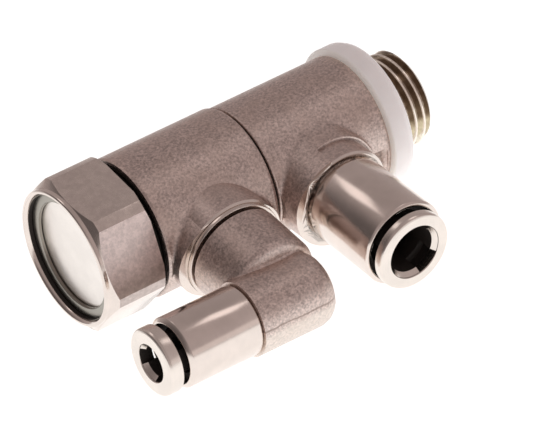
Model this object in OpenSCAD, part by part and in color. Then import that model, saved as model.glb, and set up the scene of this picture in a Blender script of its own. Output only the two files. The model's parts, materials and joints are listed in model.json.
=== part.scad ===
// Banjo-type flow control valve with a pilot connection.
// One hollow screw carries two swivelling rings: the supply ring with a straight
// push-in connector and the pilot ring with an elbow push-in connector.
// Frame: main axis along X, thread towards +X, hexagon towards -X, Z up as the valve lies.
// Origin: on the main axis, at the face of the seal washer that meets the port.

/* [View] */
// sub-part to draw, or all

/* [Lie] */
// how far the straight connector points below the horizontal, degrees
supply_droop = 10.8; // [0:0.1:14]
// extra droop of the elbow connector, degrees
pilot_extra = 3.9; // [0:0.1:8]
// turn of the elbow about its own leg, degrees
elbow_turn = 1.4; // [0:0.1:5]

/* [Thread] */
// major diameter of the port thread
thread_d = 13.157; // [12.9:0.001:13.4]
// thread length beyond the washer
thread_len = 5.9; // [4.8:0.02:6.5]
// washer outside diameter
washer_d = 20.4; // [19.6:0.1:21]
// washer thickness
washer_t = 3.27; // [3:0.01:3.4]

/* [Hexagon] */
// size across the flats
hex_af = 19; // [18.6:0.1:19.4]
// diameter the corners are turned down to
hex_corner_d = 21.14; // [20.6:0.02:21.6]
// front face position, distance behind the washer face
hex_front = 48.4; // [48:0.1:49]
// back face position
hex_back = 39.8; // [39.7:0.1:40]

/* [Rings] */
// supply ring outside diameter
supply_ring_d = 18.68; // [18.4:0.02:19]
// pilot ring outside diameter
pilot_ring_d = 19.22; // [19:0.02:19.6]
// bore of both rings
ring_bore_d = 13.62; // [13.58:0.01:13.66]
// outside diameter of the hollow screw inside the rings
shank_d = 13.5; // [13.46:0.01:13.52]
// diameter of the annular flow channel in each ring
channel_d = 16.2; // [15.6:0.1:16.4]

/* [Supply connector] */
// sleeve outside diameter
supply_sleeve_d = 12.02; // [11.8:0.02:12.2]
// distance from the main axis to the sleeve end
supply_sleeve_end = 24.78; // [24.6:0.02:25.2]
// release collet flange diameter
supply_flange_d = 10.84; // [10.6:0.02:11]
// grip diameter between the collet fingers, for a 6 mm tube
supply_grip_d = 6.2; // [6.1:0.02:6.3]

/* [Pilot connector] */
// sleeve outside diameter
pilot_sleeve_d = 9.48; // [9.3:0.02:9.7]
// distance from the elbow leg axis to the sleeve end
pilot_sleeve_end = 17.87; // [17.7:0.01:18.2]
// release collet flange diameter
pilot_flange_d = 9.06; // [8.9:0.02:9.1]
// grip diameter between the collet fingers, for a 4 mm tube
pilot_grip_d = 4.2; // [4.1:0.02:4.3]
// elbow upright leg diameter
leg_d = 13.18; // [12.9:0.02:13.4]
// elbow cross leg diameter
cross_d = 10.1; // [9.9:0.02:10.3]

/* [Hidden] */
$fn = 64;
supply_x = -13.24;
pilot_x = -30.12;
supply_lo = -21.2;
supply_hi = -washer_t;
pilot_lo = -38.85;
pilot_hi = -21.5;
thread_r = thread_d / 2;
neck_r = 6.2;
shank_r = shank_d / 2;
bore_r = ring_bore_d / 2;
chan_r = channel_d / 2;
chan_half = 2.3;
chamber_r = 5.0;
poppet_bore_r = 4.5;
seat_bore_r = 2.6;
guide_r = 1.53;
wall_lo = -22.0;
wall_hi = -19.0;
seat_x = -8.0;
plug_bore_r = 8.73;
plug_floor = -44.5;
oring_r = 0.5;
groove_r = 5.74;
groove_half = 0.6;
oring_mid = 6.25;
seal_x = [-36.4, -24.4, -18.9, -7.2];
elbow_s = 22.56;
neck_out_r = 6.59;
pilot_neck_r = 7.21;
cross_end = 6.9;
finger_n = 3;
finger_deg = 67;

// ---- frames ----
// local +Z becomes +X, profiles are written as [radius, x]
module along_main() rotate([0, 90, 0]) children();

// local +Z points out of a ring connector, local X stays +X
module along_branch(x, droop)
  translate([x, 0, 0]) rotate([droop, 0, 0]) rotate([90, 0, 0]) children();

module supply_frame() along_branch(supply_x, supply_droop) children();

module pilot_frame() along_branch(pilot_x, supply_droop + pilot_extra) children();

// local +Z points along the elbow's cross leg, towards its tube
module cross_frame()
  pilot_frame() translate([0, 0, elbow_s]) rotate([0, 0, -elbow_turn]) rotate([0, -90, 0]) children();

module turned(pts) rotate_extrude() polygon(pts);

module tube(r_out, r_in, a, b) turned([[r_in, a], [r_out, a], [r_out, b], [r_in, b]]);

module ring_torus(mid, r, x) rotate_extrude() translate([mid, x]) circle(r = r);

module stem_seal(k) color([0.06, 0.06, 0.06]) along_main() ring_torus(oring_mid, oring_r, seal_x[k]);

module stem_seal_a() stem_seal(0);

module stem_seal_b() stem_seal(1);

module stem_seal_c() stem_seal(2);

module stem_seal_d() stem_seal(3);

// ---- hollow screw ----
hex_turn = 127.1 + supply_droop + 90;
hex_r = hex_af / 2 / cos(30);
cone = tan(30);

module hex_head() {
  intersection() {
    rotate([0, 0, hex_turn]) translate([0, 0, -hex_front])
      cylinder(r = hex_r, h = hex_front - hex_back, $fn = 6);
    turned([[0, -hex_front], [9.26, -hex_front], [9.46, -hex_front + 0.2], [9.46, -hex_front + 0.63],
      [hex_corner_d / 2, -hex_front + 0.63 + (hex_corner_d / 2 - 9.46) * cone],
      [hex_corner_d / 2, -hex_back - 0.35], [hex_corner_d / 2 - 0.6, -hex_back], [0, -hex_back]]);
  }
}

module shank_groove(x) tube(shank_r + 1, groove_r, x - groove_half, x + groove_half);

module stem_outside() {
  hex_head();
  turned([[0, -hex_back - 1], [7.9, -hex_back - 1], [7.9, -38.95], [shank_r, -38.95],
    [shank_r, -washer_t - 0.06], [neck_r, -washer_t - 0.06], [neck_r, 0], [thread_r - 0.4, 0.001],
    [thread_r, 0.35], [thread_r, thread_len - 0.7], [thread_r - 0.9, thread_len], [0, thread_len]]);
}

module stem_bores() {
  turned([[0, -hex_front - 1], [plug_bore_r, -hex_front - 1], [plug_bore_r, plug_floor],
    [chamber_r, plug_floor], [chamber_r, wall_lo], [guide_r, wall_lo],
    [guide_r, -21.0], [2.5, -21.0], [2.5, -19.6], [guide_r, -19.6], [guide_r, wall_hi],
    [seat_bore_r, wall_hi], [seat_bore_r, seat_x - 0.4], [3.0, seat_x], [poppet_bore_r, seat_x],
    [poppet_bore_r, thread_len + 1], [0, thread_len + 1]]);
}

module cross_holes(x, r, a, b)
  for (k = [0:3]) rotate([0, 0, 45 + 90 * k]) translate([a, 0, x]) rotate([0, 90, 0]) cylinder(r = r, h = b - a);

module valve_stem() color([0.62, 0.58, 0.55]) along_main() difference() {
  stem_outside();
  stem_bores();
  for (x = seal_x) shank_groove(x);
  cross_holes(pilot_x, 1.2, 4.0, 8.0);
  cross_holes(supply_x, 1.6, 2.0, 8.0);
}

module port_seal_washer() color([0.93, 0.91, 0.90]) along_main()
  turned([[neck_r + 0.02, -washer_t], [washer_d / 2 - 0.15, -washer_t],
    [washer_d / 2, -washer_t + 0.15], [washer_d / 2, -0.9], [washer_d / 2 - 0.35, -0.12],
    [washer_d / 2 - 0.5, 0], [neck_r + 0.52, 0], [neck_r + 0.02, -0.5]]);

module hex_face_seal() color([0.06, 0.06, 0.06]) along_main() ring_torus(8.33, 0.42, -39.34);

module ring_spacer() color([0.08, 0.08, 0.08]) along_main() tube(8.85, shank_r + 0.01, -21.43, -21.27);

module end_plug() color([0.80, 0.79, 0.77]) along_main()
  turned([[0, -47.35], [7.55, -47.35], [7.75, -47.15], [7.75, -46.55], [8.68, -46.55], [8.68, plug_floor],
    [4.95, plug_floor], [4.95, -43.6], [4.1, -43.6], [4.1, -42.4], [4.95, -42.4], [4.95, -41.4], [0, -41.4]]);

module end_plug_seal() color([0.06, 0.06, 0.06]) along_main() ring_torus(4.55, 0.44, -43.0);

module plug_retaining_ring() color([0.55, 0.52, 0.48]) along_main()
  turned([[7.8, -46.56], [8.70, -46.56], [8.70, -47.25], [8.55, -47.4], [7.95, -47.4], [7.8, -47.25]]);

module rod_seal() color([0.06, 0.06, 0.06]) along_main() ring_torus(2.02, 0.46, -20.3);

// ---- poppet and its spring ----
module poppet_spring() color([0.7, 0.7, 0.7]) along_main()
  for (k = [0:3]) ring_torus(3.4, 0.28, -4.0 + 1.9 * k);

module spring_retainer() color([0.72, 0.66, 0.40]) along_main()
  turned([[2.3, 2.1], [4.49, 2.1], [4.49, 3.6], [2.6, 3.6], [2.3, 3.3]]);

module poppet() color([0.75, 0.62, 0.30]) along_main()
  turned([[0, -9.55], [1.4, -9.55], [1.4, -8.9], [2.2, -8.05], [2.2, -7.2], [4.2, -7.2],
    [4.2, -5.6], [2.9, -5.6], [2.9, -4.6], [0, -4.6]]);

module poppet_seal() color([0.07, 0.07, 0.07]) along_main() tube(4.2, 2.21, -7.95, -7.21);

module pilot_piston() color([0.75, 0.62, 0.30]) along_main()
  turned([[0, -28.7], [4.94, -28.7], [4.94, -27.7], [4.05, -27.7], [4.05, -26.5], [4.94, -26.5],
    [4.94, -25.5], [1.48, -25.5], [1.48, -9.57], [0, -9.57]]);

module piston_seal() color([0.06, 0.06, 0.06]) along_main() ring_torus(4.5, 0.44, -27.1);

// ---- ring with its connector boss ----
// pts from the boss root outwards, [radius, distance from the main axis]
module banjo(lo, hi, r, x, boss, edge) difference() {
  union() {
    rotate([0, 90, 0]) turned([[0, lo - x], [r - edge, lo - x], [r, lo - x + edge], [r, hi - x - edge],
      [r - edge, hi - x], [0, hi - x]]);
    rotate([90, 0, 0]) turned(boss);
  }
  rotate([0, 90, 0]) turned([[0, lo - x - 1], [bore_r, lo - x - 1], [bore_r, -chan_half], [chan_r, -chan_half],
    [chan_r, chan_half], [bore_r, chan_half], [bore_r, hi - x + 1], [0, hi - x + 1]]);
  rotate([90, 0, 0]) translate([0, 0, 4]) cylinder(r = 1.9, h = 9);
  children();
}

module supply_banjo() color([0.56, 0.50, 0.47])
  translate([supply_x, 0, 0]) rotate([supply_droop, 0, 0])
  banjo(supply_lo, supply_hi, supply_ring_d / 2, supply_x,
    [[0, 0], [8.3, 0], [8.3, 6.0], [7.7, 7.3], [7.3, 8.3], [7.1, 9.2], [neck_out_r, 9.2],
      [neck_out_r, 12.2], [neck_out_r - 0.25, 12.45], [0, 12.45]], 0.25)
  rotate([90, 0, 0]) translate([0, 0, 9.2]) cylinder(r = 4.75, h = 6);

module pilot_banjo() color([0.56, 0.50, 0.47])
  translate([pilot_x, 0, 0]) rotate([supply_droop + pilot_extra, 0, 0])
  banjo(pilot_lo, pilot_hi, pilot_ring_d / 2, pilot_x,
    [[0, 0], [pilot_neck_r, 0], [pilot_neck_r, 10.8], [pilot_neck_r - 0.25, 11.05], [0, 11.05]], 0.45)
  rotate([90, 0, 0]) turned([[0, 8.9], [4.9, 8.9], [4.9, 9.3], [5.3, 9.3], [5.3, 10.1], [4.9, 10.1],
    [4.9, 12.5], [0, 12.5]]);

// ---- straight push-in connector ----
// section of a tube socket: outside radius, tube radius, inner end, outer end
module supply_sleeve() color([0.66, 0.60, 0.57]) supply_frame()
  turned([[2.0, 9.25], [4.72, 9.25], [4.72, 12.46], [5.45, 12.46], [5.45, 12.9], [5.75, 12.9], [supply_sleeve_d / 2, 13.25],
    [supply_sleeve_d / 2, supply_sleeve_end - 0.35], [supply_sleeve_d / 2 - 0.25, supply_sleeve_end],
    [4.15, supply_sleeve_end], [4.15, 21.0], [4.7, 20.5], [4.7, 15.4], [4.4, 15.4], [4.4, 13.5],
    [3.08, 13.5], [3.08, 10.6], [2.0, 10.6]]);

module supply_tube_seal() color([0.06, 0.06, 0.06]) supply_frame()
  turned([[3.05, 13.6], [4.38, 13.6], [4.38, 15.2], [3.6, 15.2], [3.02, 14.6]]);

module supply_grip_ring() color([0.70, 0.70, 0.70]) supply_frame()
  turned([[3.3, 16.4], [4.68, 15.45], [4.68, 15.75], [3.4, 16.65]]);

// one collet finger, from its barb to the lead-in of the mouth
module finger(r_grip, r_out, r_mouth, s0, s_flange, s_face, lip, turn)
  rotate([0, 0, turn - finger_deg / 2]) rotate_extrude(angle = finger_deg)
  polygon([[r_grip + 0.15, s0], [r_out, s0], [r_out + lip, s0 + 0.4], [r_out + lip, s0 + 1.0], [r_out, s0 + 1.6],
    [r_out, s_flange + 0.4], [r_mouth + 0.06, s_flange + 0.5], [r_mouth + 0.06, s_face - 0.14],
    [r_grip, s_face - 0.8], [r_grip, s0 + 0.3]]);

// flange ring with rounded rims, and its fingers
module collet(r_grip, r_out, r_mouth, r_flange, s0, s_flange, s_face, lip, turn) {
  turned([[r_mouth, s_flange], [r_flange - 0.25, s_flange], [r_flange, s_flange + 0.2],
    [r_flange, s_face - 0.45], [r_flange - 0.14, s_face - 0.14], [r_flange - 0.45, s_face],
    [r_mouth + 0.1, s_face], [r_mouth, s_face - 0.1]]);
  for (k = [0:finger_n - 1])
    finger(r_grip, r_out, r_mouth, s0, s_flange, s_face, lip, turn + k * 360 / finger_n);
}

module supply_collet() color([0.84, 0.82, 0.80]) supply_frame()
  collet(supply_grip_d / 2, 4.02, 3.78, supply_flange_d / 2, 17.5, 25.53, 27.01, 0.4, 10);

// ---- elbow push-in connector ----
module elbow_body() color([0.56, 0.50, 0.47]) difference() {
  union() {
    pilot_frame() turned([[0, 9.0], [4.83, 9.0], [4.83, 9.3], [4.45, 9.3], [4.45, 10.1], [4.83, 10.1],
      [4.83, 10.5], [4.05, 10.5], [4.05, 11.5], [4.83, 11.5],
      [4.83, 12.1], [leg_d / 2 - 0.3, 12.1], [leg_d / 2, 12.4], [leg_d / 2, 19.7],
      [leg_d / 2 - 0.6, 20.7], [leg_d / 2 - 1.8, 21.5], [0, 21.5]]);
    cross_frame() turned([[0, -5.0], [2.9, -5.0], [4.1, -4.6], [4.8, -3.8], [cross_d / 2, -2.8],
      [cross_d / 2, cross_end - 0.15], [cross_d / 2 - 0.15, cross_end], [0, cross_end]]);
  }
  pilot_frame() translate([0, 0, 8]) cylinder(r = 1.6, h = elbow_s - 8);
  cross_frame() translate([0, 0, -1.6]) cylinder(r = 1.6, h = 12);
  cross_frame() translate([0, 0, 2.6]) cylinder(r = 3.7, h = 12);
}

module elbow_seal() color([0.06, 0.06, 0.06]) pilot_frame() ring_torus(4.46, 0.4, 11.0);

module elbow_collar_ring() color([0.60, 0.57, 0.54]) pilot_frame() tube(6.85, 4.84, 11.35, 11.95);

module elbow_clip() color([0.6, 0.6, 0.6]) pilot_frame() tube(5.24, 4.47, 9.4, 10.0);

module pilot_sleeve() color([0.66, 0.60, 0.57]) cross_frame()
  turned([[1.6, 2.65], [3.68, 2.65], [3.68, cross_end + 0.02], [pilot_sleeve_d / 2 - 0.25, cross_end + 0.02],
    [pilot_sleeve_d / 2, cross_end + 0.3], [pilot_sleeve_d / 2, pilot_sleeve_end - 0.5],
    [pilot_sleeve_d / 2 - 0.5, pilot_sleeve_end], [3.05, pilot_sleeve_end], [3.05, 14.6], [3.5, 14.1],
    [3.5, 8.4], [3.2, 8.4], [3.2, 6.6], [2.08, 6.6], [2.08, 4.4], [1.6, 4.4]]);

module pilot_tube_seal() color([0.06, 0.06, 0.06]) cross_frame()
  turned([[2.05, 6.7], [3.18, 6.7], [3.18, 8.2], [2.5, 8.2], [2.03, 7.6]]);

module pilot_grip_ring() color([0.70, 0.70, 0.70]) cross_frame()
  turned([[2.3, 9.2], [3.48, 8.45], [3.48, 8.7], [2.4, 9.42]]);

module pilot_collet() color([0.84, 0.82, 0.80]) cross_frame()
  collet(pilot_grip_d / 2, 2.92, 2.57, pilot_flange_d / 2, 10.4, 18.8, 20.84, 0.35, 30);

valve_stem();
port_seal_washer();
hex_face_seal();
ring_spacer();
stem_seal_a();
stem_seal_b();
stem_seal_c();
stem_seal_d();
end_plug();
end_plug_seal();
plug_retaining_ring();
rod_seal();
poppet_spring();
spring_retainer();
poppet();
poppet_seal();
pilot_piston();
piston_seal();
supply_banjo();
supply_sleeve();
supply_tube_seal();
supply_grip_ring();
supply_collet();
pilot_banjo();
elbow_body();
elbow_seal();
elbow_collar_ring();
elbow_clip();
pilot_sleeve();
pilot_tube_seal();
pilot_grip_ring();
pilot_collet();
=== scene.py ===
"""Visual model of a banjo valve with a straight and an elbow push-in connector.

Sizes are in millimetres. A piece is worked on the bench with its own axis along local Z,
then it is scaled to metres and put in its place in the frame.
"""

import json
import logging
import math
from dataclasses import dataclass, field
from enum import Enum
from typing import Callable, Optional, Sequence, Union

import bmesh
import bpy
from mathutils import Matrix, Vector


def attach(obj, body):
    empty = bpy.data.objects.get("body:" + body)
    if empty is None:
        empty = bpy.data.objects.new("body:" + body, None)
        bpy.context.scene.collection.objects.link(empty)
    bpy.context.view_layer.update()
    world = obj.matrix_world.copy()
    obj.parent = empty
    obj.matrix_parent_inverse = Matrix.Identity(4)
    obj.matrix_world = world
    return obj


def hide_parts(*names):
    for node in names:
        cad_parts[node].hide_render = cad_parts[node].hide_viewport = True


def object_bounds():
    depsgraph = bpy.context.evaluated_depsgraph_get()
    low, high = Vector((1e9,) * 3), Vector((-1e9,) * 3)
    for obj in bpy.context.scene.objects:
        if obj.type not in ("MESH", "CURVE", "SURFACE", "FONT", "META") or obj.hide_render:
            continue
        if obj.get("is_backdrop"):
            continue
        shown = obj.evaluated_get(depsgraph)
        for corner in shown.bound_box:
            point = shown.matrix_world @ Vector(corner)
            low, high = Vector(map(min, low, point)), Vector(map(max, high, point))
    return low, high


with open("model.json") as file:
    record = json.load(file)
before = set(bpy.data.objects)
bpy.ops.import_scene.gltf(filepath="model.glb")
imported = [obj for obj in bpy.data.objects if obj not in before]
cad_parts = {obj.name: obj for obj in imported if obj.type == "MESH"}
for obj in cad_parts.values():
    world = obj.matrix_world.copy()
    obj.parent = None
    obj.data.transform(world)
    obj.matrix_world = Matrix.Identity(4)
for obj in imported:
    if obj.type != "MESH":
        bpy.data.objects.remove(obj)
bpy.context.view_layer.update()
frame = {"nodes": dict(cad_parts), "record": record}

LOG = logging.getLogger("valve")
MM = 0.001
WELD = 1e-5
STEPS = 176
Profile = Sequence[tuple[float, float]]
Colour = tuple[float, float, float]
Value = Union["Sock", float, int]
Arrow = Union["Sock", Sequence[float]]
Shade = Union["Sock", Colour]
Stops = Sequence[tuple[float, Colour]]
Test = Callable[[Vector, Vector], bool]
WORLD_X = (1.0, 0.0, 0.0)
WORLD_Z = (0.0, 0.0, 1.0)


class Slot(Enum):
    """Material slots of the record."""

    CAST = "nickel_cast"
    TURNED = "nickel_turned"
    BRIGHT = "nickel_bright"
    STEEL = "spring_steel"
    BRASS = "brass"
    RUBBER = "black_rubber"
    PLASTIC = "black_plastic"
    NYLON = "white_nylon"


# --------------------------------------------------------------------------
# Shader expressions
# --------------------------------------------------------------------------
class Sock:
    """A shader number that the usual operators work on."""

    def __init__(self, graph: "Graph", out: Optional[bpy.types.NodeSocket]) -> None:
        """Wraps an output socket of a graph."""
        self.graph = graph
        self.out = out

    def __add__(self, other: Value) -> "Sock":
        """Sum."""
        return self.graph.math("ADD", self, other)

    def __sub__(self, other: Value) -> "Sock":
        """Difference."""
        return self.graph.math("SUBTRACT", self, other)

    def __rsub__(self, other: Value) -> "Sock":
        """Difference from a number."""
        return self.graph.math("SUBTRACT", other, self)

    def __mul__(self, other: Value) -> "Sock":
        """Product."""
        return self.graph.math("MULTIPLY", self, other)

    __radd__ = __add__
    __rmul__ = __mul__

    def smooth(self, low: float, high: float) -> "Sock":
        """A smooth step from 0 at low to 1 at high."""
        return self.graph.make(
            "ShaderNodeMapRange",
            {"interpolation_type": "SMOOTHSTEP"},
            {"Value": self, "From Min": low, "From Max": high},
        )


class Graph:
    """The node tree of one material or world."""

    def __init__(self, owner: Union[bpy.types.Material, bpy.types.World]) -> None:
        """Empties the owner's node tree and takes it over.

        Args:
            owner: the material or world.
        """
        owner.use_nodes = True
        self.owner = owner
        self.tree = owner.node_tree
        self.tree.nodes.clear()
        self.place: Optional[Sock] = None

    @classmethod
    def named(cls, name: str) -> "Graph":
        """Starts an empty material of that name."""
        return cls(bpy.data.materials.new(name))

    def make(self, kind: str, settings: dict, inputs: dict, out: Union[int, str] = 0) -> Sock:
        """Adds a node.

        Args:
            kind: the node's type.
            settings: its own settings, set first; "stops" fills a colour ramp.
            inputs: a number, a colour or a Sock for each named or numbered socket.
            out: the output that is returned.

        Returns:
            The chosen output.
        """
        node = self.tree.nodes.new(kind)
        for key, value in settings.items():
            if key == "stops":
                self._fill_ramp(node.color_ramp, value)
            else:
                setattr(node, key, value)
        for key, value in inputs.items():
            if isinstance(value, Sock):
                self.tree.links.new(value.out, node.inputs[key])
            else:
                node.inputs[key].default_value = value
        return Sock(self, node.outputs[out] if len(node.outputs) else None)

    @staticmethod
    def _fill_ramp(ramp: bpy.types.ColorRamp, stops: Stops) -> None:
        """Sets the stops of a colour ramp."""
        while len(ramp.elements) < len(stops):
            ramp.elements.new(0.5)
        for element, (position, colour) in zip(ramp.elements, stops):
            element.position = position
            element.color = (*colour, 1.0)

    def math(self, operation: str, a: Value, b: Value = 0.0) -> Sock:
        """A Math node on one or two values."""
        return self.make("ShaderNodeMath", {"operation": operation}, {0: a, 1: b})

    def vector(self, operation: str, a: Arrow, b: Arrow) -> Sock:
        """A Vector Math node on two vectors."""
        out = "Value" if operation in ("DOT_PRODUCT", "LENGTH", "DISTANCE") else "Vector"
        return self.make("ShaderNodeVectorMath", {"operation": operation}, {0: a, 1: b}, out)

    def scaled(self, a: Arrow, factor: Value) -> Sock:
        """A vector times a number."""
        return self.make("ShaderNodeVectorMath", {"operation": "SCALE"}, {0: a, "Scale": factor}, "Vector")

    def blend(self, factor: Value, a: Shade, b: Shade) -> Sock:
        """Mixes two colours."""
        first, second = (c if isinstance(c, Sock) else (*c, 1.0) for c in (a, b))
        return self.make("ShaderNodeMix", {"data_type": "RGBA"}, {0: factor, 6: first, 7: second}, 2)

    def spread(self, factor: Value, tint: Colour, low: float, high: float) -> Sock:
        """A tint that runs from its darker shade to its lighter one.

        Args:
            factor: 0 for the darker shade, 1 for the lighter.
            tint: the colour in the middle.
            low: what the darker shade is of the tint.
            high: what the lighter shade is of the tint.

        Returns:
            The colour.
        """
        darker = tuple(low * c for c in tint)
        lighter = tuple(min(1.0, high * c) for c in tint)
        return self.blend(factor, darker, lighter)

    def position(self) -> Sock:
        """Object coordinates in millimetres."""
        if self.place is None:
            raw = self.make("ShaderNodeTexCoord", {}, {}, "Object")
            self.place = self.scaled(raw, 1.0 / MM)
        return self.place

    def along(self, axis: Sequence[float]) -> Sock:
        """Distance from the frame's origin along an axis, in millimetres."""
        return self.vector("DOT_PRODUCT", self.position(), axis)

    def noise(self, scale: float, detail: float = 2.0, rough: float = 0.5) -> Sock:
        """Noise in three dimensions, from 0 to 1; scale is per millimetre."""
        return self.make(
            "ShaderNodeTexNoise",
            {"noise_dimensions": "3D"},
            {"Vector": self.position(), "Scale": scale, "Detail": detail, "Roughness": rough},
            "Fac",
        )

    def noise_line(self, along: Sock, scale: float, detail: float = 2.0) -> Sock:
        """Noise along one coordinate, from 0 to 1."""
        return self.make(
            "ShaderNodeTexNoise",
            {"noise_dimensions": "1D"},
            {"W": along, "Scale": scale, "Detail": detail},
            "Fac",
        )

    def ramp(self, factor: Sock, stops: Stops) -> Sock:
        """A colour ramp."""
        return self.make("ShaderNodeValToRGB", {"stops": stops}, {0: factor}, "Color")

    def cells(self, scale: float) -> Sock:
        """A random shade for each small cell."""
        cell = self.make("ShaderNodeTexVoronoi", {}, {"Vector": self.position(), "Scale": scale}, "Color")
        return self.make("ShaderNodeSeparateColor", {}, {0: cell})

    def bump(self, height: Sock, depth: float) -> Sock:
        """A normal from a height; depth is in millimetres."""
        return self.make("ShaderNodeBump", {}, {"Height": height, "Distance": depth * MM}, "Normal")

    def axial(self, spot: Vector, axis: Vector) -> tuple[Sock, Sock]:
        """Distance along an axis and distance from it, in millimetres.

        Args:
            spot: a point of the axis, in millimetres.
            axis: its unit direction.

        Returns:
            The two distances.
        """
        arm = self.vector("SUBTRACT", self.position(), tuple(spot))
        along = self.vector("DOT_PRODUCT", arm, tuple(axis))
        shaft = self.scaled(tuple(axis), along)
        away = self.vector("LENGTH", self.vector("SUBTRACT", arm, shaft), (0.0, 0.0, 0.0))
        return along, away

    def finish(self, **inputs: object) -> bpy.types.Material:
        """Ends the material with a Principled shader that takes these inputs.

        Args:
            inputs: for each socket, named with underscores, a number, a colour or a Sock.

        Returns:
            The material.
        """
        inputs = {key.replace("_", " "): value for key, value in inputs.items()}
        wide = {
            key: (*value, 1.0) if isinstance(value, tuple) and "Color" in key else value
            for key, value in inputs.items()
        }
        shader = self.make("ShaderNodeBsdfPrincipled", {}, wide, "BSDF")
        self.make("ShaderNodeOutputMaterial", {}, {"Surface": shader})
        return self.owner


# --------------------------------------------------------------------------
# Finishes
# --------------------------------------------------------------------------
NICKEL: Colour = (0.82, 0.735, 0.68)
WARM_PATCH: Colour = (0.70, 0.56, 0.49)
SEAM_LINE: Colour = (0.24, 0.18, 0.15)
PAINTED_SHEEN: Colour = (0.93, 0.87, 0.79)
LOW_SHADE: Colour = (0.20, 0.165, 0.135)
CREST_HIGHLIGHT: Colour = (0.95, 0.87, 0.78)
GROOVE_TABLE_SHEEN: Colour = (0.80, 0.745, 0.62)
GROOVE_SHADE: Colour = (0.30, 0.235, 0.175)
GROOVE_STAIN: Colour = (0.50, 0.42, 0.34)
LIT_FACE_CREAM: Colour = (0.97, 0.91, 0.86)


@dataclass(frozen=True)
class CastNickel:
    """Plated casting: matt, with a fine sparkling grain."""

    name: str = "cast_nickel"
    tint: Colour = (0.645, 0.54, 0.50)
    grain: float = 2.9
    depth: float = 0.060
    roughness: float = 0.36
    contrast: float = 1.0
    seam: Optional[tuple[tuple, tuple, tuple]] = None

    def build(self) -> bpy.types.Material:
        """Builds the material.

        Returns:
            The finished material.
        """
        graph = Graph.named(self.name)
        coarse = graph.noise(self.grain, 3.0, 0.62)
        fine = graph.noise(self.grain * 2.6, 2.0, 0.6)
        broad = graph.noise(0.22, 2.0, 0.5)
        speck = graph.cells(self.grain * 1.5)
        height = coarse * 0.6 + fine * 0.4
        shade = coarse.smooth(0.34, 0.68) * 0.55 + speck * 0.45
        base = graph.spread(shade, self.tint, 1.0 - 0.40 * self.contrast, 1.0 + 0.38 * self.contrast)
        warm = graph.blend(broad.smooth(0.35, 0.75) * 0.35, base, WARM_PATCH)
        return graph.finish(
            Base_Color=self.with_seam(graph, warm),
            Metallic=1.0,
            Roughness=speck * 0.18 + (self.roughness - 0.09) + broad * 0.06,
            Normal=graph.bump(height, self.depth),
        )

    def with_seam(self, graph: Graph, base: Sock) -> Sock:
        """Draws the dark line where the mould parted, with a painted reflection on one side: lighter metal
        there, standing in for the pale table it shows.

        Args:
            graph: the material's graph.
            base: the colour without the seam.

        Returns:
            The colour with the seam, or the same colour where there is none.
        """
        if self.seam is None:
            return base
        corner, normal, outwards = self.seam
        arm = graph.vector("SUBTRACT", graph.position(), corner)
        wave = graph.noise(0.8, 2.0, 0.5) * 0.5 - 0.25
        side = graph.vector("DOT_PRODUCT", arm, normal) + wave
        outer = graph.vector("DOT_PRODUCT", arm, outwards).smooth(1.0, 2.5)
        line = (1.0 - graph.math("ABSOLUTE", side).smooth(0.04, 0.17)) * outer
        seamed = graph.blend(line * 0.65, base, SEAM_LINE)
        # painted reflection: one side of the seam is blended towards a lighter metal colour
        return graph.blend(side.smooth(0.1, 1.2) * outer * 0.45, seamed, PAINTED_SHEEN)


@dataclass(frozen=True)
class TurnedNickel:
    """Plated turned metal: fine rings round one axis."""

    name: str
    spot: tuple[float, float, float]
    axis: tuple[float, float, float]
    tint: Colour = NICKEL
    pitch: float = 5.0
    depth: float = 0.0016
    roughness: float = 0.17

    def build(self) -> bpy.types.Material:
        """Builds the material.

        Returns:
            The finished material.
        """
        graph = Graph.named(self.name)
        along, away = graph.axial(Vector(self.spot), Vector(self.axis))
        run = along + away * 1.37
        lines = graph.noise_line(run, self.pitch, 3.0)
        wide = graph.noise_line(run, self.pitch * 0.22, 1.0)
        stain = graph.noise(0.35, 3.0, 0.55)
        height = lines * 0.7 + wide * 0.3
        shade = stain.smooth(0.30, 0.75) * 0.5 + lines * 0.35
        return graph.finish(
            Base_Color=graph.spread(shade, self.tint, 0.90, 1.06),
            Metallic=1.0,
            Roughness=stain * 0.08 + lines * 0.05 + (self.roughness - 0.06),
            Normal=graph.bump(height, self.depth),
        )


@dataclass(frozen=True)
class MilledNickel:
    """Plated milled flats of the hexagon: straight cutter lines across the main axis."""

    name: str = "milled_nickel"
    tint: Colour = NICKEL
    roughness: float = 0.24
    depth: float = 0.0040

    def build(self) -> bpy.types.Material:
        """Builds the material.

        Returns:
            The finished material.
        """
        graph = Graph.named(self.name)
        lines = graph.noise_line(graph.along(WORLD_X), 4.2, 3.0)
        pits = graph.noise(2.6, 3.0, 0.6)
        mottle = graph.noise(1.1, 3.0, 0.55)
        shade = mottle.smooth(0.32, 0.70) * 0.6 + pits.smooth(0.4, 0.7) * 0.3
        return graph.finish(
            Base_Color=graph.spread(shade, self.tint, 0.86, 1.05),
            Metallic=1.0,
            Roughness=mottle * 0.10 + lines * 0.06 + (self.roughness - 0.06),
            Normal=graph.bump(lines * 0.5 + pits * 0.5, self.depth),
        )


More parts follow.
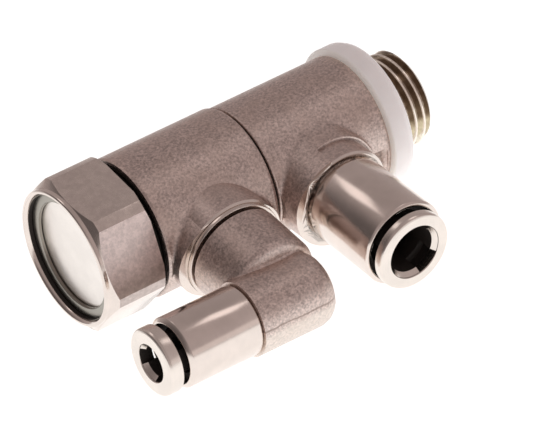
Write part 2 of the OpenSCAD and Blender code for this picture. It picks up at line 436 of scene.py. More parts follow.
@dataclass(frozen=True)
class TumbledNickel:
    """Plated flats left with a speckled skin, with painted shade darkening their lower part."""

    name: str = "tumbled_nickel"
    tint: Colour = (0.88, 0.765, 0.735)
    shade_height: float = -0.6
    depth: float = 0.035

    def build(self) -> bpy.types.Material:
        """Builds the material.

        Returns:
            The finished material.
        """
        graph = Graph.named(self.name)
        skin = graph.noise(1.5, 3.0, 0.62)
        fine = graph.noise(3.4, 2.0, 0.6)
        patches = graph.noise(0.45, 3.0, 0.55)
        height = graph.along(WORLD_Z) + patches * 3.2 - 1.6
        # painted shade: the flats are darkened towards the bottom
        low = 1.0 - height.smooth(self.shade_height - 1.2, self.shade_height + 1.4)
        shade = skin.smooth(0.34, 0.66) * 0.65 + fine.smooth(0.4, 0.7) * 0.35
        unshaded = graph.spread(shade, self.tint, 0.80, 1.12)
        return graph.finish(
            Base_Color=graph.blend(low * 0.40, unshaded, LOW_SHADE),
            Metallic=1.0,
            Roughness=fine * 0.16 + 0.30,
            Normal=graph.bump(skin * 0.6 + fine * 0.4, self.depth),
        )


@dataclass(frozen=True)
class ThreadNickel:
    """Plated thread: painted highlights on the crests, and painted shade in the grooves that gives way to a
    painted reflection of the table lower down.
    """

    name: str = "thread_nickel"
    crest: float = 6.5785

    def build(self) -> bpy.types.Material:
        """Builds the material.

        Returns:
            The finished material.
        """
        graph = Graph.named(self.name)
        _, away = graph.axial(Vector((0, 0, 0)), Vector(WORLD_X))
        stain = graph.noise(0.9, 3.0, 0.6)
        # painted highlight: the crests are painted bright
        crest_lit = away.smooth(self.crest - 0.22, self.crest - 0.04)
        # painted shade in the upper grooves, painted reflection of the table in the lower ones
        upper = (graph.along(WORLD_Z) + stain * 1.2).smooth(-0.9, 0.3)
        groove = graph.blend(upper, GROOVE_TABLE_SHEEN, GROOVE_SHADE)
        shaded = graph.blend(stain.smooth(0.35, 0.7) * 0.5, groove, GROOVE_STAIN)
        return graph.finish(
            Base_Color=graph.blend(crest_lit, shaded, CREST_HIGHLIGHT),
            Metallic=1.0,
            Roughness=stain * 0.10 + 0.16,
        )


@dataclass(frozen=True)
class Nylon:
    """Milky nylon of the seal washer, with a faint painted glow and a brighter painted face towards the
    hexagon.
    """

    name: str = "milky_nylon"
    tint: Colour = (0.90, 0.865, 0.86)
    lit_face_edge: float = -3.0
    glow: float = 0.17

    def build(self) -> bpy.types.Material:
        """Builds the material.

        Returns:
            The finished material.
        """
        graph = Graph.named(self.name)
        cloud = graph.noise(0.30, 3.0, 0.5)
        fine = graph.noise(2.2, 3.0, 0.5)
        skin = graph.spread(cloud.smooth(0.3, 0.75), self.tint, 0.95, 1.0)
        # painted light: the washer's face towards the hexagon is painted a brighter cream
        rim = graph.along(WORLD_X).smooth(self.lit_face_edge, self.lit_face_edge - 0.25)
        base = graph.blend(rim, skin, LIT_FACE_CREAM)
        return graph.finish(
            Base_Color=base,
            Roughness=fine * 0.12 + 0.32,
            Normal=graph.bump(fine, 0.006),
            Subsurface_Weight=0.55,
            Subsurface_Scale=0.0022,
            Subsurface_Radius=(1.0, 0.92, 0.9),
            # painted light: the washer glows faintly in its own colour, so it reads brighter
            Emission_Color=base,
            Emission_Strength=self.glow,
        )


@dataclass(frozen=True)
class BoreShade:
    """Near-black painted shade for the insides of the sockets, bores and fingers, where little light reaches.
    """

    name: str = "oiled_bore"
    tint: Colour = (0.020, 0.016, 0.014)

    def build(self) -> bpy.types.Material:
        """Builds the material.

        Returns:
            The finished material.
        """
        # painted shade: a near-black colour put where the inside lies in shade
        graph = Graph.named(self.name)
        blotch = graph.noise(0.9, 2.0, 0.5)
        return graph.finish(
            Base_Color=graph.spread(blotch, self.tint, 1.0, 1.8),
            Roughness=blotch * 0.2 + 0.5,
            Specular_IOR_Level=0.3,
        )


@dataclass(frozen=True)
class Plain:
    """Rubber, plastic, steel and brass of the small parts, with a light grain."""

    name: str
    tint: Colour
    metallic: float
    roughness: float
    grain: float = 2.5
    depth: float = 0.006
    shine: float = 0.5

    def build(self) -> bpy.types.Material:
        """Builds the material.

        Returns:
            The finished material.
        """
        graph = Graph.named(self.name)
        fine = graph.noise(self.grain, 3.0, 0.6)
        return graph.finish(
            Base_Color=graph.spread(fine, self.tint, 0.85, 1.12),
            Metallic=self.metallic,
            Roughness=fine * 0.14 + (self.roughness - 0.07),
            Specular_IOR_Level=self.shine,
            Normal=graph.bump(fine, self.depth),
        )


# --------------------------------------------------------------------------
# Bench
# --------------------------------------------------------------------------
class Bench:
    """Modelling steps on one piece, in millimetres with its axis along local Z."""

    @staticmethod
    def clear() -> None:
        """Leaves edit mode and deselects everything."""
        active = bpy.context.view_layer.objects.active
        if active is not None and active.mode != "OBJECT":
            bpy.ops.object.mode_set(mode="OBJECT")
        bpy.ops.object.select_all(action="DESELECT")

    @staticmethod
    def pick(piece: bpy.types.Object) -> None:
        """Makes a piece the only selected one, and the active one.

        Args:
            piece: the piece.
        """
        Bench.clear()
        piece.select_set(True)
        bpy.context.view_layer.objects.active = piece

    @staticmethod
    def close_mesh() -> None:
        """In edit mode: merges doubles, turns faces outwards and goes back to object mode."""
        bpy.ops.mesh.select_all(action="SELECT")
        bpy.ops.mesh.remove_doubles(threshold=WELD)
        bpy.ops.mesh.normals_make_consistent(inside=False)
        bpy.ops.object.mode_set(mode="OBJECT")

    @staticmethod
    def turn(name: str, profile: Profile, steps: int = STEPS) -> bpy.types.Object:
        """Turns a piece: a circle is drawn out along the axis and scaled.

        Args:
            name: the piece's name.
            profile: (radius, height) pairs. A first or last radius of 0 closes that end;
                with neither, the section is joined back to its start.
            steps: the number of sides.

        Returns:
            The closed piece.
        """
        Bench.clear()
        solid = profile[0][0] == 0
        path = list(profile[1:]) if solid else list(profile) + [profile[0]]
        radius, height = path[0]
        bpy.ops.mesh.primitive_circle_add(vertices=steps, radius=radius, enter_editmode=True)
        piece = bpy.context.object
        piece.name = name
        bpy.ops.transform.translate(value=(0, 0, height))
        for next_radius, next_height in path[1:]:
            bpy.ops.mesh.extrude_region_move(TRANSFORM_OT_translate={"value": (0, 0, next_height - height)})
            if next_radius == 0:
                bpy.ops.mesh.merge(type="CENTER")
                break
            if next_radius != radius:
                rate = next_radius / radius
                bpy.ops.transform.resize(value=(rate, rate, 1), center_override=(0, 0, next_height))
            radius, height = next_radius, next_height
        if solid:
            bpy.ops.mesh.select_all(action="DESELECT")
            bpy.ops.mesh.select_non_manifold()
            bpy.ops.mesh.extrude_region_move(TRANSFORM_OT_translate={"value": (0, 0, 0)})
            bpy.ops.mesh.merge(type="CENTER")
        Bench.close_mesh()
        return piece

    @staticmethod
    def sector(name: str, profile: Profile, start: float, sweep: float, steps: int) -> bpy.types.Object:
        """Spins a closed section through part of a turn, back from its far end to its start.

        Args:
            name: the piece's name.
            profile: (radius, height) pairs round the section.
            start: where the sector starts, in degrees.
            sweep: how far it goes, in degrees.
            steps: the number of steps of the spin.

        Returns:
            The closed sector.
        """
        Bench.clear()
        bpy.ops.mesh.primitive_circle_add(
            vertices=len(profile), radius=1.0, fill_type="NGON", enter_editmode=True
        )
        piece = bpy.context.object
        piece.name = name
        mesh = bmesh.from_edit_mesh(piece.data)
        turn = math.radians(start + sweep)
        for vertex, (radius, height) in zip(mesh.verts, profile):
            vertex.co = (radius * math.cos(turn), radius * math.sin(turn), height)
        bmesh.update_edit_mesh(piece.data)
        bpy.ops.mesh.spin(steps=steps, angle=math.radians(sweep), center=(0, 0, 0), axis=(0, 0, 1))
        Bench.close_mesh()
        return piece

    @staticmethod
    def apply(piece: bpy.types.Object, kind: str, **settings: object) -> None:
        """Adds a modifier and applies it.

        Args:
            piece: the piece.
            kind: the modifier's type.
            settings: its settings.
        """
        Bench.pick(piece)
        modifier = piece.modifiers.new(kind.lower(), kind)
        for key, value in settings.items():
            setattr(modifier, key, value)
        bpy.ops.object.modifier_apply(modifier=modifier.name)

    @staticmethod
    def combine(piece: bpy.types.Object, tool: bpy.types.Object, operation: str) -> None:
        """Joins a tool to a piece, cuts it away or keeps what they share; the tool is used up."""
        Bench.apply(piece, "BOOLEAN", object=tool, operation=operation, solver="EXACT")
        bpy.data.objects.remove(tool)

    @staticmethod
    def ease(piece: bpy.types.Object, width: float, segments: int = 2, angle: float = 28.0) -> None:
        """Breaks the sharp edges."""
        Bench.apply(
            piece,
            "BEVEL",
            width=width,
            segments=segments,
            limit_method="ANGLE",
            angle_limit=math.radians(angle),
            use_clamp_overlap=True,
        )

    @staticmethod
    def cast(piece: bpy.types.Object, grid: float, passes: int) -> None:
        """Runs inner corners into fillets, as in a casting."""
        Bench.apply(piece, "REMESH", mode="VOXEL", voxel_size=grid, use_smooth_shade=True)
        Bench.apply(piece, "SMOOTH", factor=0.5, iterations=passes)

    @staticmethod
    def trim(piece: bpy.types.Object, spot: Sequence[float], outwards: Sequence[float]) -> None:
        """Cuts a piece flat at a plane and closes it.

        Args:
            piece: the piece.
            spot: a point of the plane.
            outwards: its normal; what lies on that side goes.
        """
        Bench.pick(piece)
        bpy.ops.object.mode_set(mode="EDIT")
        bpy.ops.mesh.select_all(action="SELECT")
        bpy.ops.mesh.bisect(plane_co=spot, plane_no=outwards, use_fill=True, clear_outer=True, threshold=1e-6)
        bpy.ops.object.mode_set(mode="OBJECT")

    @staticmethod
    def shift(piece: bpy.types.Object, seat: Matrix) -> bpy.types.Object:
        """Moves a piece's mesh.

        Args:
            piece: the piece, whose object stays at the origin.
            seat: the matrix its mesh is moved by.

        Returns:
            The piece.
        """
        Bench.pick(piece)
        piece.matrix_world = seat
        bpy.ops.object.transform_apply(location=True, rotation=True, scale=True)
        return piece

    @staticmethod
    def paint(piece: bpy.types.Object, index: int, test: Test) -> None:
        """Gives a material index to the faces whose centre and normal pass a test."""
        for face in piece.data.polygons:
            if test(face.center, face.normal):
                face.material_index = index

    @staticmethod
    def place(
        piece: bpy.types.Object,
        seat: Matrix,
        body: str,
        slot: Slot,
        nodes: Sequence[str],
        finishes: Sequence[bpy.types.Material],
        angle: float = 32.0,
    ) -> bpy.types.Object:
        """Puts a finished piece in its place, dresses it and makes it ride.

        Args:
            piece: the piece, in bench millimetres.
            seat: where its bench frame lies, in metres.
            body: the CAD body it moves with.
            slot: the record's material slot; not used.
            nodes: the CAD nodes it stands for.
            finishes: its materials, in the order of its face indices.
            angle: edges sharper than this stay sharp, in degrees.

        Returns:
            The piece.
        """
        Bench.pick(piece)
        piece.matrix_world = seat @ Matrix.Scale(MM, 4)
        bpy.ops.object.transform_apply(location=True, rotation=True, scale=True)
        bpy.ops.object.shade_smooth_by_angle(angle=math.radians(angle))
        for finish in finishes:
            piece.data.materials.append(finish)
        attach(piece, body)
        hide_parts(*nodes)
        LOG.info("%s: %d faces, on %s", piece.name, len(piece.data.polygons), body)
        return piece


# --------------------------------------------------------------------------
# Where things lie
# --------------------------------------------------------------------------
@dataclass
class Layout:
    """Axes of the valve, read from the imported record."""

    record: dict
    supply_axis: Vector = field(init=False)
    pilot_axis: Vector = field(init=False)
    cross_axis: Vector = field(init=False)
    supply_x: float = field(init=False)
    pilot_x: float = field(init=False)
    elbow_reach: float = 22.56

    def __post_init__(self) -> None:
        """Reads the axes of the mounts and joints."""
        mounts = {m["name"]: m for m in self.record["mounts"]}
        joints = {j["name"]: j for j in self.record["behaviour"]["joints"]}
        self.supply_axis = Vector(mounts["supply_tube_socket"]["axis"])
        self.cross_axis = Vector(mounts["pilot_tube_socket"]["axis"])
        self.pilot_axis = Vector(joints["elbow_swivel"]["axis"])
        self.supply_x = joints["supply_swivel"]["pos_m"][0] / MM
        self.pilot_x = joints["pilot_swivel"]["pos_m"][0] / MM

    @staticmethod
    def seat(origin: Vector, z: Vector, x: Vector) -> Matrix:
        """A frame with its Z along z and its X as near x as it can be.

        Args:
            origin: in millimetres.
            z: direction of local Z.
            x: direction that local X leans to.

        Returns:
            The frame, placed in metres.
        """
        z = z.normalized()
        x = (x - z * x.dot(z)).normalized()
        y = z.cross(x)
        turn = Matrix((x, y, z)).transposed().to_4x4()
        return Matrix.Translation(origin * MM) @ turn

    @property
    def main(self) -> Matrix:
        """Local Z along the main axis, local X pointing down."""
        return self.seat(Vector((0, 0, 0)), Vector((1, 0, 0)), Vector((0, 0, -1)))

    @property
    def supply(self) -> Matrix:
        """Local Z out of the straight connector."""
        return self.seat(Vector((self.supply_x, 0, 0)), self.supply_axis, Vector((1, 0, 0)))

    @property
    def pilot(self) -> Matrix:
        """Local Z out of the elbow's ring."""
        return self.seat(Vector((self.pilot_x, 0, 0)), self.pilot_axis, Vector((1, 0, 0)))

    @property
    def corner(self) -> Vector:
        """Where the elbow's two legs meet, in millimetres."""
        return Vector((self.pilot_x, 0, 0)) + self.pilot_axis * self.elbow_reach

    @property
    def seam_normal(self) -> Vector:
        """Normal of the plane in which the elbow's mould parted."""
        level = self.pilot_axis.cross(self.cross_axis).normalized()
        return (level + self.pilot_axis * 0.28).normalized()

    @property
    def cross(self) -> Matrix:
        """Local Z along the elbow's cross leg."""
        return self.seat(self.corner, self.cross_axis, self.pilot_axis)


@dataclass
class Palette:
    """All finishes of the valve, built once."""

    layout: Layout
    cast: bpy.types.Material = field(init=False)
    skimmed: bpy.types.Material = field(init=False)
    seamed: bpy.types.Material = field(init=False)
    milled: bpy.types.Material = field(init=False)
    tumbled: bpy.types.Material = field(init=False)
    thread: bpy.types.Material = field(init=False)
    main: bpy.types.Material = field(init=False)
    supply: bpy.types.Material = field(init=False)
    pilot: bpy.types.Material = field(init=False)
    cross: bpy.types.Material = field(init=False)
    disc: bpy.types.Material = field(init=False)
    supply_bright: bpy.types.Material = field(init=False)
    cross_bright: bpy.types.Material = field(init=False)
    bore: bpy.types.Material = field(init=False)
    nylon: bpy.types.Material = field(init=False)
    rubber: bpy.types.Material = field(init=False)
    plastic: bpy.types.Material = field(init=False)
    steel: bpy.types.Material = field(init=False)
    brass: bpy.types.Material = field(init=False)

    def __post_init__(self) -> None:
        """Builds the materials."""
        lay = self.layout
        along_x = ((0.0, 0.0, 0.0), (1.0, 0.0, 0.0))
        supply = ((lay.supply_x, 0.0, 0.0), tuple(lay.supply_axis))
        pilot = ((lay.pilot_x, 0.0, 0.0), tuple(lay.pilot_axis))
        cross = (tuple(lay.corner), tuple(lay.cross_axis))
        bright: Colour = (0.86, 0.79, 0.73)
        aluminium: Colour = (0.88, 0.83, 0.785)
        self.cast = CastNickel().build()
        self.skimmed = CastNickel("skimmed_nickel", depth=0.025, contrast=0.75).build()
        seam = (tuple(lay.corner), tuple(lay.seam_normal), tuple(lay.pilot_axis))
        self.seamed = CastNickel("seamed_cast", seam=seam).build()
        self.milled = MilledNickel().build()
        self.tumbled = TumbledNickel().build()
        self.thread = ThreadNickel().build()
        self.main = TurnedNickel("turned_nickel_main", *along_x).build()
        self.supply = TurnedNickel("turned_nickel_supply", *supply).build()
        self.pilot = TurnedNickel("turned_nickel_pilot", *pilot).build()
        self.cross = TurnedNickel("turned_nickel_cross", *cross).build()
        disc = TurnedNickel("turned_disc", *along_x, tint=aluminium, depth=0.004, roughness=0.30)
        self.disc = disc.build()
        self.supply_bright = TurnedNickel("bright_supply", *supply, tint=bright, roughness=0.24).build()
        self.cross_bright = TurnedNickel("bright_cross", *cross, tint=bright, roughness=0.24).build()
        self.bore = BoreShade().build()
        self.nylon = Nylon().build()
        self.rubber = Plain("black_rubber", (0.012, 0.011, 0.010), 0.0, 0.65, shine=0.2).build()
        self.plastic = Plain("black_plastic", (0.03, 0.03, 0.03), 0.0, 0.45).build()
        self.steel = Plain("spring_steel", (0.36, 0.34, 0.30), 1.0, 0.30, depth=0.002).build()
        self.brass = Plain("plain_brass", (0.80, 0.61, 0.30), 1.0, 0.30, depth=0.003).build()

    def of_slot(self, slot: Slot) -> bpy.types.Material:
        """The finish for a carried-over CAD node of that slot."""
        return {
            Slot.CAST: self.cast,
            Slot.TURNED: self.main,
            Slot.BRIGHT: self.disc,
            Slot.STEEL: self.steel,
            Slot.BRASS: self.brass,
            Slot.RUBBER: self.rubber,
            Slot.PLASTIC: self.plastic,
            Slot.NYLON: self.nylon,
        }[slot]


# --------------------------------------------------------------------------
# Sub-assemblies
# --------------------------------------------------------------------------
@dataclass
class HollowScrew:
    """The hexagon head, the shank that carries the rings, and the port thread."""

    layout: Layout
    palette: Palette
    across_flats: float = 19.0
    corner_radius: float = 10.57
    front: float = -48.4
    back: float = -39.8
    rim_radius: float = 9.46
    rim_foot: float = -47.77
    turn: float = 137.9
    bore_radius: float = 8.73
    bore_lip: float = 0.14
    bore_widens: float = -47.34
    bore_floor: float = -44.5
    shank_radius: float = 6.75
    collar_radius: float = 7.9
    collar_end: float = -38.95
    neck_radius: float = 6.2
    washer: float = 3.27
    major: float = 6.5785
    depth: float = 0.856
    pitch: float = 1.337
    length: float = 5.9
    passage: float = 4.5
    passage_floor: float = -8.0
    seat_radius: float = 2.6
    seat_back: float = -19.0
    cylinder_radius: float = 5.0
    cylinder_end: float = -22.0
    rows: int = 170

    def head(self) -> bpy.types.Object:
        """Mills the hexagon out of a turned blank and bores its front.

        Returns:
            The head, in bench millimetres.
        """
        Bench.clear()
        depth = self.back - self.front
        bpy.ops.mesh.primitive_cylinder_add(
            vertices=6,
            radius=self.across_flats / 2 / math.cos(math.pi / 6),
            depth=depth,
            location=(0, 0, (self.back + self.front) / 2),
            rotation=(0, 0, math.radians(self.turn)),
        )
        piece = bpy.context.object
        piece.name = "screw_body"
        bpy.ops.object.transform_apply(location=True, rotation=True, scale=True)
        slope = math.tan(math.radians(30))
        rise = (self.corner_radius - self.rim_radius) * slope
        blank = Bench.turn(
            "blank",
            [
                (0, self.front),
                (self.rim_radius - 0.26, self.front),
                (self.rim_radius - 0.06, self.front + 0.10),
                (self.rim_radius, self.front + 0.28),
                (self.rim_radius, self.rim_foot),
                (self.corner_radius, self.rim_foot + rise),
                (self.corner_radius, self.back - 0.35),
                (self.corner_radius - 0.6, self.back),
                (0, self.back),
            ],
            240,
        )
        Bench.combine(piece, blank, "INTERSECT")
        Bench.ease(piece, 0.07, 2, 20.0)
        bore = Bench.turn(
            "bore",
            [
                (0, self.front - 1.0),
                (self.bore_radius + 0.22, self.front - 1.0),
                (self.bore_radius + 0.22, self.front + 0.02),
                (self.bore_radius, self.front + 0.20),
                (self.bore_radius - self.bore_lip, self.front + 0.50),
                (self.bore_radius - self.bore_lip, self.bore_widens),
                (self.bore_radius, self.bore_widens + 0.04),
                (self.bore_radius, self.bore_floor),
                (0, self.bore_floor),
            ],
            240,
        )
        Bench.combine(piece, bore, "DIFFERENCE")
        return piece

    def thread_radius(self, angle: float, height: float) -> float:
        """Radius of the threaded end.

        Args:
            angle: round the axis, in radians.
            height: along it, in millimetres.

        Returns:
            The radius in millimetres.
        """
        phase = (height / self.pitch - angle / math.tau) % 1.0
        flank = min(1.0, max(0.0, (abs(2.0 * phase - 1.0) - 0.12) / 0.70))
        cut = flank * flank * (3.0 - 2.0 * flank) * 0.35 + flank * 0.65
        radius = self.major - self.depth * cut
        tip = self.major - 0.9 + (self.length - height) * 1.3
        foot = self.neck_radius - 0.35 + max(0.0, height - 0.10) * 2.6
        return min(radius, tip, foot)

    def shank(self) -> bpy.types.Object:
        """Turns the shank, then presses the thread into the rows of its end.

        Returns:
            The shank, in bench millimetres.
        """
        outside: list[tuple[float, float]] = [
            (self.passage, self.length),
            (self.passage, self.passage_floor),
            (self.seat_radius, self.passage_floor),
            (self.seat_radius, self.seat_back),
            (self.cylinder_radius, self.cylinder_end),
            (self.cylinder_radius, self.back - 0.5),
            (self.collar_radius, self.back - 0.5),
            (self.collar_radius, self.collar_end),
            (self.shank_radius, self.collar_end),
            (self.shank_radius, -self.washer - 0.06),
            (self.neck_radius, -self.washer - 0.06),
            (self.neck_radius, -0.02),
        ]
        blank_radius = self.neck_radius + 0.01
        for row in range(self.rows + 1):
            outside.append((blank_radius, self.length * row / self.rows))
        outside.append((self.passage + 0.35, self.length))
        piece = Bench.turn("shank", outside, 256)
        for vertex in piece.data.vertices:
            x, y, z = vertex.co
            radius = math.hypot(x, y)
            if abs(radius - blank_radius) < 0.004 and z > -0.001:
                rate = self.thread_radius(math.atan2(y, x), z) / radius
                vertex.co = (x * rate, y * rate, z)
        return piece

    def build(self) -> None:
        """Builds the whole screw as one piece."""
        piece = self.head()
        Bench.combine(piece, self.shank(), "UNION")
        flat = self.across_flats / 2
        edge = self.back - 0.01

        def on_flat(centre: Vector, normal: Vector) -> bool:
            """True on the six flats."""
            away = math.hypot(centre.x, centre.y)
            return self.rim_foot - 0.3 < centre.z < edge and abs(normal.z) < 0.2 and away > flat - 0.02

        def in_shade(centre: Vector, normal: Vector) -> bool:
            """True in the front bore, and behind the hexagon.

            Args:
                centre: the face's middle.
                normal: its direction, which doesn't matter here.

            Returns:
                Whether the face is in the shade.
            """
            away = math.hypot(centre.x, centre.y)
            in_bore = self.front + 0.45 < centre.z < self.bore_floor + 0.1 and away < self.bore_radius + 0.05
            behind = edge - 0.05 < centre.z < self.collar_end + 0.05 and away < flat + 0.4
            return in_bore or behind

        def on_thread(centre: Vector, normal: Vector) -> bool:
            """True on the threaded outside."""
            return centre.z > 0.0 and math.hypot(centre.x, centre.y) > self.passage + 0.4

        Bench.paint(piece, 2, lambda centre, normal: on_flat(centre, normal) and normal.x < 0.5)
        Bench.paint(piece, 1, lambda centre, normal: on_flat(centre, normal) and normal.x < -0.55)
        Bench.paint(piece, 3, in_shade)
        Bench.paint(piece, 4, on_thread)
        metals = self.palette
        finishes = [metals.main, metals.milled, metals.tumbled, metals.bore, metals.thread]
        Bench.place(piece, self.layout.main, "stem", Slot.TURNED, ["valve_stem"], finishes, 26.0)


@dataclass
class ScrewTrim:
    """The washer, seals, spacer, closing disc and retaining ring on the screw."""

    layout: Layout
    palette: Palette
    washer_radius: float = 10.2
    washer: float = 3.27
    neck_radius: float = 6.2
    shank_radius: float = 6.76

    @staticmethod
    def hoop(middle: float, wire: float, height: float, sides: int = 20) -> Profile:
        """The round section of a hoop."""
        return [
            (middle + wire * math.cos(math.tau * k / sides), height + wire * math.sin(math.tau * k / sides))
            for k in range(sides)
        ]

    def seal_washer(self) -> None:
        """The nylon washer that seals the port."""
        outer = self.washer_radius
        piece = Bench.turn(
            "seal_washer",
            [
                (self.neck_radius, -self.washer),
                (outer - 0.15, -self.washer),
                (outer, -self.washer + 0.15),
                (outer, -0.9),
                (outer - 0.35, -0.12),
                (outer - 0.5, 0.0),
                (self.neck_radius, 0.0),
            ],
        )
        Bench.ease(piece, 0.10, 3, 12.0)
        self._put(piece, Slot.NYLON, "port_seal_washer", self.palette.nylon)

    def face_seal(self) -> None:
        """The rubber ring behind the hexagon."""
        piece = Bench.turn("face_seal", self.hoop(8.33, 0.42, -39.34))
        self._put(piece, Slot.RUBBER, "hex_face_seal", self.palette.rubber)

    def spacer(self) -> None:
        """The thin sliding washer between the rings."""
        inner, outer, low, high = self.shank_radius, 8.85, -21.43, -21.27
        piece = Bench.turn("ring_spacer_disc", [(inner, low), (outer, low), (outer, high), (inner, high)])
        Bench.ease(piece, 0.04)
        self._put(piece, Slot.PLASTIC, "ring_spacer", self.palette.plastic)

    def disc(self) -> None:
        """The disc that closes the hexagon, with its spigot."""
        piece = Bench.turn(
            "closing_disc",
            [
                (0, -46.7),
                (4.0, -46.7),
                (7.58, -46.7),
                (7.72, -46.58),
                (7.72, -46.2),
                (8.68, -46.2),
                (8.68, -44.5),
                (4.95, -44.5),
                (4.95, -43.6),
                (4.1, -43.6),
                (4.1, -42.4),
                (4.95, -42.4),
                (4.95, -41.4),
                (0, -41.4),
            ],
        )
        Bench.ease(piece, 0.05)
        self._put(piece, Slot.BRIGHT, "end_plug", self.palette.disc)

    def snap_ring(self) -> None:
        """The ring that holds the disc in."""
        piece = Bench.turn(
            "retaining_ring",
            [(7.30, -46.76), (8.70, -46.76), (8.70, -47.18), (8.58, -47.28), (7.42, -47.28), (7.30, -47.16)],
        )
        Bench.ease(piece, 0.05)
        self._put(piece, Slot.STEEL, "plug_retaining_ring", self.palette.steel)

    def _put(self, piece: bpy.types.Object, slot: Slot, node: str, finish: bpy.types.Material) -> None:
        """Puts a piece on the screw."""
        Bench.place(piece, self.layout.main, "stem", slot, [node], [finish])

    def build(self) -> None:
        """Builds every piece of trim."""
        self.seal_washer()
        self.face_seal()
        self.spacer()
        self.disc()
        self.snap_ring()


@dataclass
class RingCasting:
    """A swivelling ring with its connector boss."""

    name: str
    body: str
    node: str
    seat: Matrix
    finishes: Sequence[bpy.types.Material]
    low: float
    high: float
    radius: float
    rim: float
    boss: Profile
    flank: Profile
    flank_spread: float
    neck: Profile
    socket: float
    relief: float = 0.0
    relief_radius: float = 9.4
    relief_start: float = -80.0
    relief_sweep: float = 186.0
    flank_shift: float = -0.35
    socket_floor: float = 7.5
    bore: float = 6.81
    grid: float = 0.17
    passes: int = 26

    def along_x(self, piece: bpy.types.Object) -> bpy.types.Object:
        """Lays a turned piece along local X."""
        return Bench.shift(piece, Matrix.Rotation(math.pi / 2, 4, "Y"))

    def blank(self) -> bpy.types.Object:
        """Casts the ring with its boss; the boss runs out into a flank on one side.

        Returns:
            The blank, with spare length at both ends.
        """
        spare = 1.6
        low, high, radius = self.low - spare, self.high + spare, self.radius
        piece = self.along_x(Bench.turn(self.name, [(0, low), (radius, low), (radius, high), (0, high)]))
        Bench.combine(piece, Bench.turn("boss", self.boss), "UNION")
        flank = Bench.turn("flank", self.flank)
        spread = Matrix.Translation((self.flank_shift, 0, 0)) @ Matrix.Scale(self.flank_spread, 4, (1, 0, 0))
        Bench.combine(piece, Bench.shift(flank, spread), "UNION")
        Bench.cast(piece, self.grid, self.passes)
        return piece

    def ends(self) -> bpy.types.Object:
        """The turned outline of the ring's two ends.

        Returns:
            A solid that keeps only what lies between the ends.
        """
        low, high, rim, radius = self.low, self.high, self.rim, self.radius
        tall = radius + 20.0
        profile = [
            (0, low),
            (radius - rim, low),
            (radius - rim * 0.35, low + rim * 0.25),
            (radius + 0.02, low + rim),
            (tall, low + rim),
            (tall, high - rim),
            (radius + 0.02, high - rim),
            (radius - rim * 0.35, high - rim * 0.25),
            (radius - rim, high),
            (0, high),
        ]
        return self.along_x(Bench.turn("ends", profile, 240))

    def build(self) -> None:
        """Machines the blank's ends, neck, socket and bore."""
        piece = self.blank()
        low, high, top = self.low, self.high, self.neck[-1][1]
        neck_radius = max(r for r, _ in self.neck)
        Bench.combine(piece, self.ends(), "INTERSECT")
        Bench.trim(piece, (0, 0, top), (0, 0, 1))
        if self.relief:
            inner, outer = neck_radius - 0.4, self.relief_radius
            cut = [(inner, self.relief), (outer, self.relief), (outer, top + 2), (inner, top + 2)]
            sector = Bench.sector("relief", cut, self.relief_start, self.relief_sweep, 96)
            Bench.combine(piece, sector, "DIFFERENCE")
        Bench.combine(piece, Bench.turn("neck", self.neck), "UNION")
        wall, floor = self.socket, self.socket_floor
        socket = Bench.turn("socket", [(0, floor), (wall, floor), (wall, top + 2.0), (0, top + 2.0)])
        Bench.combine(piece, socket, "DIFFERENCE")
        hole = [(0, low - 3.0), (self.bore, low - 3.0), (self.bore, high + 3.0), (0, high + 3.0)]
        Bench.combine(piece, self.along_x(Bench.turn("bore", hole, 240)), "DIFFERENCE")

        def turned(centre: Vector, normal: Vector) -> bool:
            """True on the tip of the neck and the end faces of the ring.

            Args:
                centre: the face's middle.
                normal: its direction.

            Returns:
                Whether the face is turned.
            """
            away = math.hypot(centre.x, centre.y)
            on_tip = centre.z > top - 0.3 and away < neck_radius + 0.02
            on_end = abs(normal.x) > 0.97 and (centre.x < low + 0.03 or centre.x > high - 0.03)
            return on_tip or on_end

        def skimmed(centre: Vector, normal: Vector) -> bool:
            """True on the skimmed side of the neck and on the relief."""
            on_neck = abs(math.hypot(centre.x, centre.y) - neck_radius) < 0.02 and abs(normal.z) < 0.05
            return on_neck or (bool(self.relief) and abs(centre.z - self.relief) < 0.01 and normal.z > 0.95)

        def in_socket(centre: Vector, normal: Vector) -> bool:
            """True on the socket's wall and floor."""
            away = math.hypot(centre.x, centre.y)
            return away < self.socket + 0.02 and floor - 0.5 < centre.z < top - 0.02

        Bench.paint(piece, 3, skimmed)
        Bench.paint(piece, 1, turned)
        # painted shade: the socket's wall and floor get the near-black bore material
        Bench.paint(piece, 2, in_socket)
        Bench.place(piece, self.seat, self.body, Slot.CAST, [self.node], self.finishes, 34.0)


